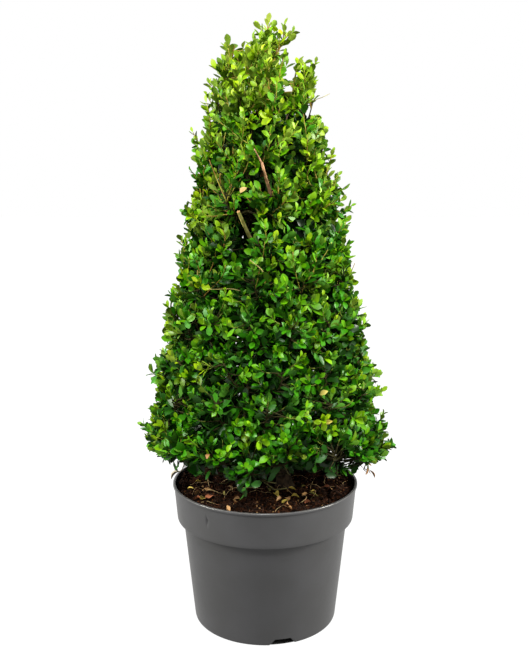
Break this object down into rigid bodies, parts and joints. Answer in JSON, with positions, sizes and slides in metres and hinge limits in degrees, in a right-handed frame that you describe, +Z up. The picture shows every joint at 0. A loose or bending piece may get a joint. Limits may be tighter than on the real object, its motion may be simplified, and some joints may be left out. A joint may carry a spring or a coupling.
{
  "type": "potted japanese holly pyramid topiary",
  "caption": "Small-leaved evergreen holly clipped to a tall pyramid, on a short trunk with leafy boughs and loose top shoots, in a plain round nursery pot of potting mix.",
  "frame": {"origin": "centre of the pot's foot ring, on the surface the pot stands on", "axes": "+Z up along the pot's axis, -Y towards the side that the picture shows, +X to that view's right"},
  "size_m": [0.3728, 0.3772, 0.8901],
  "materials": {
    "pot_plastic": "satin moulded plastic",
    "potting_mix": "moist dark peat with fibres",
    "bark": "thin grey-brown bark",
    "foliage": "glossy small evergreen leaves"
  },
  "bodies": {
    "root": {"pot": "pot_plastic", "potting_mix": "potting_mix", "trunk": "bark", "pruned_stub_low": "bark", "pruned_stub_high": "bark", "bough_low_1": "bark", "bough_low_2": "bark", "bough_low_3": "bark", "bough_low_4": "bark", "bough_low_5": "bark", "bough_low_6": "bark", "bough_mid_1": "bark", "bough_mid_2": "bark", "bough_mid_3": "bark", "bough_mid_4": "bark", "bough_mid_5": "bark", "bough_high_1": "bark", "bough_high_2": "bark", "bough_high_3": "bark", "bough_high_4": "bark", "bough_top_1": "bark", "bough_top_2": "bark", "bough_top_3": "bark", "bough_top_4": "bark", "foliage_low_1": "foliage", "foliage_low_2": "foliage", "foliage_low_3": "foliage", "foliage_low_4": "foliage", "foliage_low_5": "foliage", "foliage_low_6": "foliage", "foliage_mid_1": "foliage", "foliage_mid_2": "foliage", "foliage_mid_3": "foliage", "foliage_mid_4": "foliage", "foliage_mid_5": "foliage", "foliage_high_1": "foliage", "foliage_high_2": "foliage", "foliage_high_3": "foliage", "foliage_high_4": "foliage", "foliage_top_1": "foliage", "foliage_top_2": "foliage", "foliage_top_3": "foliage", "foliage_top_4": "foliage", "foliage_leader": "foliage"}
  },
  "joints": []
}
